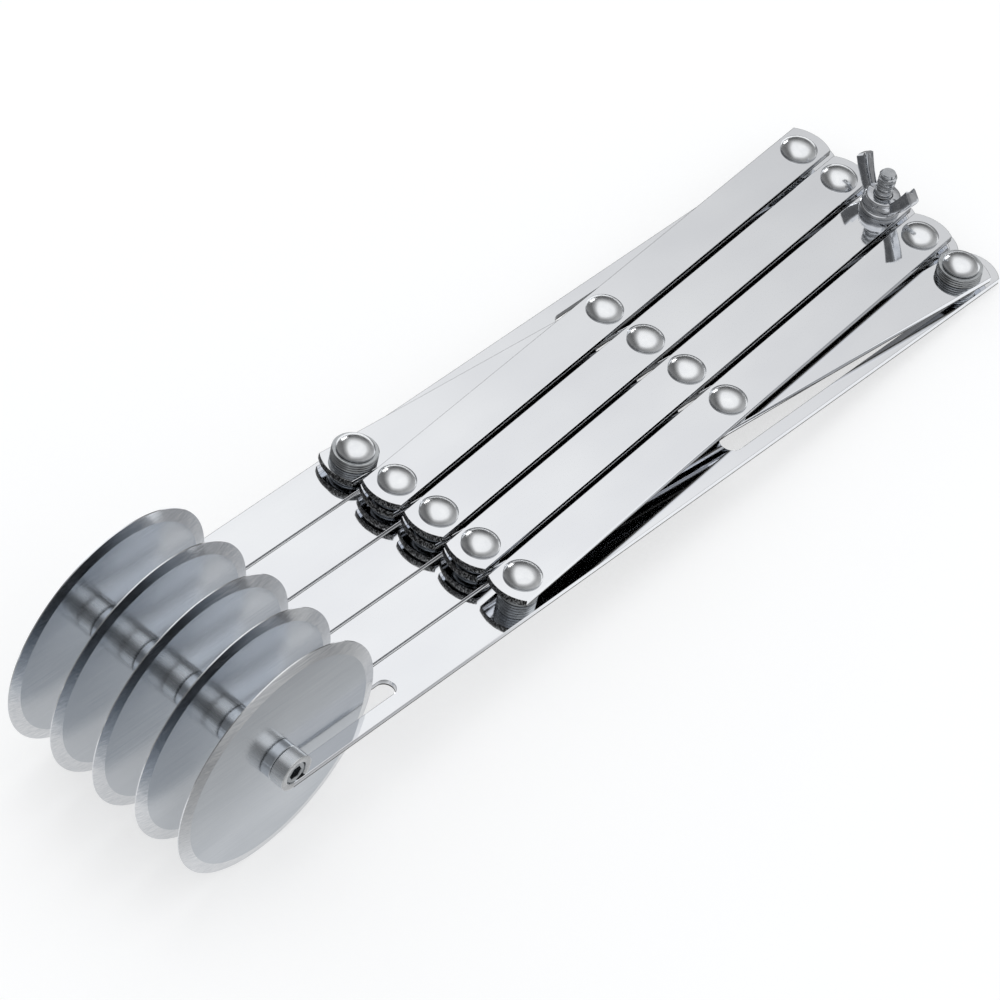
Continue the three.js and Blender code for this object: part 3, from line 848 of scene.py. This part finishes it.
# A round head: the top of a ball or of a fuller form, cut off at a share of its full radius, the rim, over a
# straight lip that is a share of its rise.
HEAD_SIZES = ("Radius", "Rise", "Fullness", "Rim", "Lip")
dome_tree, size, end = new_tree("round_head", {label: "Float" for label in HEAD_SIZES})
ball = add(dome_tree, "GeometryNodeMeshUVSphere", (),
           {"Segments": DOME_SEGMENTS, "Rings": DOME_RINGS, "Radius": 1.0})
place = add(dome_tree, "GeometryNodeInputPosition").outputs[0]
at = add(dome_tree, "ShaderNodeSeparateXYZ", (), {0: place}).outputs
flat = add(dome_tree, "ShaderNodeCombineXYZ", (), {"X": at["X"], "Y": at["Y"]})
reach = add(dome_tree, "ShaderNodeVectorMath", {"operation": "LENGTH"}, {0: flat.outputs[0]})
within = calc(dome_tree, "MULTIPLY", reach.outputs["Value"], size["Rim"])
root = calc(dome_tree, "DIVIDE", 1.0, size["Fullness"])
swells = []
for out in (within, size["Rim"]):
    power = calc(dome_tree, "POWER", out, size["Fullness"])
    rest = calc(dome_tree, "SUBTRACT", 1.0, power, clamp=True)
    swells.append(calc(dome_tree, "POWER", rest, root))
over = calc(dome_tree, "SUBTRACT", swells[0], swells[1])
full = calc(dome_tree, "SUBTRACT", 1.0, swells[1])
rise = calc(dome_tree, "DIVIDE", over, full)
above = calc(dome_tree, "GREATER_THAN", at["Z"], DOME_FLOOR)
over_lip = calc(dome_tree, "SUBTRACT", 1.0, size["Lip"])
on_lip = calc(dome_tree, "MULTIPLY_ADD", rise, over_lip, size["Lip"])
raised = calc(dome_tree, "MULTIPLY", on_lip, above)
crown = add(dome_tree, "ShaderNodeCombineXYZ", (), {"X": at["X"], "Y": at["Y"], "Z": raised})
scale = add(dome_tree, "ShaderNodeCombineXYZ", (),
            {"X": size["Radius"], "Y": size["Radius"], "Z": size["Rise"]})
sized = add(dome_tree, "ShaderNodeVectorMath", {"operation": "MULTIPLY"},
            {0: crown.outputs[0], 1: scale.outputs[0]})
formed = add(dome_tree, "GeometryNodeSetPosition", (),
             {"Geometry": ball.outputs["Mesh"], "Position": sized.outputs[0]})
dome_tree.links.new(formed.outputs[0], end[0])


def seated(nodes, sizes, part, turn):
    """A round head of the sizes that are named for a part, turned over if need be, on its seat."""
    knob = add(nodes, "GeometryNodeGroup", {"node_tree": dome_tree},
               {label: sizes[f"{part} {label}"] for label in HEAD_SIZES})
    return moved(nodes, knob.outputs[0], sizes[part + " Seat"], turn)


foot_sizes = {
    "Foot Radius": FOOT_RADIUS, "Foot Rise": FOOT_RISE, "Foot Fullness": FOOT_FULLNESS, "Foot Rim": FOOT_RIM,
    "Foot Lip": FOOT_LIP, "Foot Seat": FOOT_SEAT,
}
rivet_sizes = {
    "Head Radius": HEAD_RADIUS, "Head Rise": HEAD_RISE, "Head Fullness": HEAD_FULLNESS, "Head Rim": HEAD_RIM,
    "Head Lip": HEAD_LIP, "Head Seat": HEAD_SEAT, **foot_sizes, "Shank Radius": SHANK_RADIUS,
}
pan_sizes = {
    "Foot Radius": PAN_RADIUS, "Foot Rise": PAN_RISE, "Foot Fullness": PAN_FULLNESS, "Foot Rim": PAN_RIM,
    "Foot Seat": LOWER_LINK - SEAT_GAP,
}
rivet_inputs = {label: "Float" for label in rivet_sizes}
rivet_tree, size, end = new_tree("rivet", {**rivet_inputs, "Material": "Material"})
head = seated(rivet_tree, size, "Head", 0)
foot = seated(rivet_tree, size, "Foot", math.pi)
length = calc(rivet_tree, "SUBTRACT", size["Head Seat"], size["Foot Seat"])
heights = calc(rivet_tree, "ADD", size["Head Seat"], size["Foot Seat"])
shank = add(rivet_tree, "GeometryNodeMeshCylinder", (),
            {"Vertices": SHANK_SIDES, "Radius": size["Shank Radius"], "Depth": length})
stood = moved(rivet_tree, shank.outputs["Mesh"], calc(rivet_tree, "MULTIPLY", heights, 0.5))
whole = add(rivet_tree, "GeometryNodeJoinGeometry", (), {"Geometry": [head, foot, stood]})
close_tree(rivet_tree, end, whole.outputs[0], size["Material"])

row_sizes = {**rivet_sizes, "Material": rivet_steel}
row_rivet = grown(rivet_tree, "row_rivet", row_sizes)
cross_rivet = grown(rivet_tree, "cross_rivet", {**row_sizes, **pan_sizes})
for number, x in enumerate(ARM_X, 1):
    fit(row_rivet, f"front_rivet_{number}", Matrix.Translation((x, 0, 0)))
    if number != MIDDLE_ARM:
        fit(row_rivet, f"rear_rivet_{number}", Matrix.Translation((x, REAR_ROW, 0)))
for number, x in enumerate(CROSS_X, 1):
    fit(cross_rivet, f"cross_rivet_{number}", Matrix.Translation((x, CROSS_ROW, 0)))


# Clamp bolt
# A plated M4 bolt takes the place of the middle rear rivet: a round head under the arm, a plain neck through
# the slot and the links, and a rolled thread above them with a chamfered end.
BOLT_END = LINKS_TOP + 10.2
BOLT_CHAMFER = 0.5
THREAD_PITCH = 0.7
THREAD_DEPTH = 0.35
THREAD_SIDES = 8
THREAD_START = LINKS_TOP
THREAD_STEPS = 40

# Bright plated steel of the nut: a thin cool plating over a drawn surface, with slight stains.
plated_steel, tree, shader, own_place = steel("bright_plated_steel")
stain = grain(tree, own_place, (1.6, 1.6, 1.6), 3.0)
dress(tree, shader, between(tree, stain, "#BEC1C6", "#D6D8DB"), spread(tree, stain, 0.08, 0.17),
      (stain, 0.012))

# Rolled thread: the same plating on a rougher ground, so that each ridge shows as a pale line.
thread_steel, tree, shader, own_place = steel("plated_rolled_thread")
stain = grain(tree, own_place, (1.6, 1.6, 1.6), 3.0)
dress(tree, shader, between(tree, stain, "#B6B9BD", "#CCCFD2"), spread(tree, stain, 0.20, 0.30))

bolt_sizes = {
    "Radius": SHANK_RADIUS, "Pitch": THREAD_PITCH, "Depth": THREAD_DEPTH, "Start": THREAD_START,
    "End": BOLT_END, "Chamfer": BOLT_CHAMFER, **foot_sizes,
}
bolt_inputs = {label: "Float" for label in bolt_sizes}
bolt_tree, size, end = new_tree("threaded_bolt", {**bolt_inputs, "Material": "Material"})
core = calc(bolt_tree, "SUBTRACT", size["Radius"], size["Depth"])
shoulder = calc(bolt_tree, "SUBTRACT", size["End"], size["Chamfer"])
point = calc(bolt_tree, "SUBTRACT", size["Radius"], size["Chamfer"])
pieces = []
for bottom, top, low_radius, high_radius in (
    (size["Foot Seat"], size["Start"], size["Radius"], size["Radius"]),
    (size["Start"], shoulder, core, core),
    (shoulder, size["End"], core, point),
):
    rod = add(bolt_tree, "GeometryNodeMeshCone", (), {
        "Vertices": SHANK_SIDES, "Radius Top": high_radius, "Radius Bottom": low_radius,
        "Depth": calc(bolt_tree, "SUBTRACT", top, bottom),
    })
    pieces.append(moved(bolt_tree, rod.outputs["Mesh"], bottom))
threaded = calc(bolt_tree, "SUBTRACT", shoulder, size["Start"])
helix = add(bolt_tree, "GeometryNodeCurveSpiral", (), {
    "Resolution": THREAD_STEPS, "Rotations": calc(bolt_tree, "DIVIDE", threaded, size["Pitch"]),
    "Start Radius": core, "End Radius": core, "Height": threaded, "Reverse": True,
})
ridge = add(bolt_tree, "GeometryNodeCurvePrimitiveCircle", {"mode": "RADIUS"},
            {"Resolution": THREAD_SIDES, "Radius": size["Depth"]})
wound = add(bolt_tree, "GeometryNodeCurveToMesh", (),
            {"Curve": helix.outputs[0], "Profile Curve": ridge.outputs[0], "Fill Caps": True})
pieces.append(moved(bolt_tree, wound.outputs[0], size["Start"]))
pieces.append(seated(bolt_tree, size, "Foot", math.pi))
whole = add(bolt_tree, "GeometryNodeJoinGeometry", (), {"Geometry": pieces})
close_tree(bolt_tree, end, whole.outputs[0], size["Material"])

bolt_mesh = grown(bolt_tree, "clamp_bolt", {**bolt_sizes, "Material": thread_steel})
clamp_place = Matrix.Translation((ARM_X[MIDDLE_ARM - 1], REAR_ROW, 0))
fit(bolt_mesh, "clamp_bolt", clamp_place)


# Wing nut
# A bright plated nut, turned by hand to lock the spacing. Its hub is stepped, and its two thick wings lean
# outwards to slanted tips, with a trough down the face towards the bolt.
NUT_SEAT = LINKS_TOP + SEAT_GAP
NUT_TURN = math.radians(-9)
NUT_BORE = 2.1
NUT_SIDES = 96
NUT_STEPS = [
    (0.0, NUT_BORE + 0.3), (0.0, 4.3), (0.15, 4.45), (0.75, 4.45), (0.9, 4.3), (1.0, 4.05), (1.25, 3.95),
    (1.5, 4.1), (1.7, 4.3), (2.3, 4.3), (2.6, 4.15), (3.4, 3.95), (3.8, 3.85), (3.95, 3.7), (4.0, 3.5),
    (4.0, NUT_BORE + 0.12), (3.88, NUT_BORE), (0.3, NUT_BORE),
]
WING_ROOT = Vector((3.15, 2.15))
WING_BEND = Vector((5.9, 5.0))
WING_TIP = Vector((7.9, 9.75))
WING_ROOT_WAY = Vector((0.6, 0.8))
WING_TIP_WAY = Vector((0.7, 0.714))
WING_ROOT_HALF = 1.25
WING_TIP_HALF = 1.75
WING_ROOT_THICK = 1.25
WING_TIP_THICK = 1.4
WING_TROUGH = 0.6
WING_TROUGH_POWER = 3
WING_SQUARE = 5
WING_ROUND = 0.45
WING_STATIONS = 28
WING_POINTS = 48

hub_shape = turned(NUT_STEPS, NUT_SIDES, closed=True)
bmesh.ops.rotate(hub_shape, verts=hub_shape.verts, matrix=Matrix.Rotation(-math.pi / 2, 3, "Y"))


def wing_ring(shape, share, shrink):
    """One section across a wing, a share of the way from its root to its tip."""
    spot = WING_ROOT * (1 - share) ** 2 + WING_BEND * 2 * share * (1 - share) + WING_TIP * share ** 2
    way = WING_ROOT_WAY.lerp(WING_TIP_WAY, share).normalized()
    breadth = WING_ROOT_HALF + (WING_TIP_HALF - WING_ROOT_HALF) * share - shrink
    thick = WING_ROOT_THICK + (WING_TIP_THICK - WING_ROOT_THICK) * share - shrink
    ring = []
    for k in range(WING_POINTS):
        turn = 2 * math.pi * k / WING_POINTS
        across = math.cos(turn)
        depth = math.sin(turn)
        swell = (abs(across) ** WING_SQUARE + abs(depth) ** WING_SQUARE) ** (-1 / WING_SQUARE)
        across *= swell
        depth *= swell
        if across < 0:
            across *= 1 - WING_TROUGH * (1 - min(1, depth * depth)) ** WING_TROUGH_POWER
        x = spot.x + way.y * across * breadth
        z = spot.y - way.x * across * breadth
        ring.append(shape.verts.new((x, depth * thick, z)))
    return ring


wing_shape = bmesh.new()
sections = []
for station in range(WING_STATIONS + 1):
    share = station / WING_STATIONS
    left_over = (1 - share) * (WING_TIP - WING_BEND).length * 2
    rounding = WING_ROUND - math.sqrt(max(0, WING_ROUND ** 2 - max(0, WING_ROUND - left_over) ** 2))
    sections.append(wing_ring(wing_shape, share, rounding))
for one, two in zip(sections, sections[1:]):
    for k in range(WING_POINTS):
        wing_shape.faces.new((one[k - 1], one[k], two[k], two[k - 1]))
wing_shape.faces.new(sections[0])
wing_shape.faces.new(sections[-1])
wing_mesh = mesh_of(wing_shape, "wing", [plated_steel])
other_wing = wing_mesh.copy()
other_wing.transform(Matrix.Rotation(math.pi, 4, "Z"))
hub = bpy.data.objects.new("hub", mesh_of(hub_shape, "hub", [plated_steel]))
scene.collection.objects.link(hub)
for mesh in (wing_mesh, other_wing):
    wing = bpy.data.objects.new("wing", mesh)
    scene.collection.objects.link(wing)
    union = hub.modifiers.new("wing", "BOOLEAN")
    union.operation = "UNION"
    union.solver = "EXACT"
    union.object = wing
nut_mesh = bpy.data.meshes.new_from_object(hub.evaluated_get(bpy.context.evaluated_depsgraph_get()))
for modifier in list(hub.modifiers):
    bpy.data.objects.remove(modifier.object)
bpy.data.objects.remove(hub)
nut_place = clamp_place @ Matrix.Translation((0, 0, NUT_SEAT)) @ Matrix.Rotation(NUT_TURN, 4, "Z")
fit(nut_mesh, "wing_nut", nut_place)
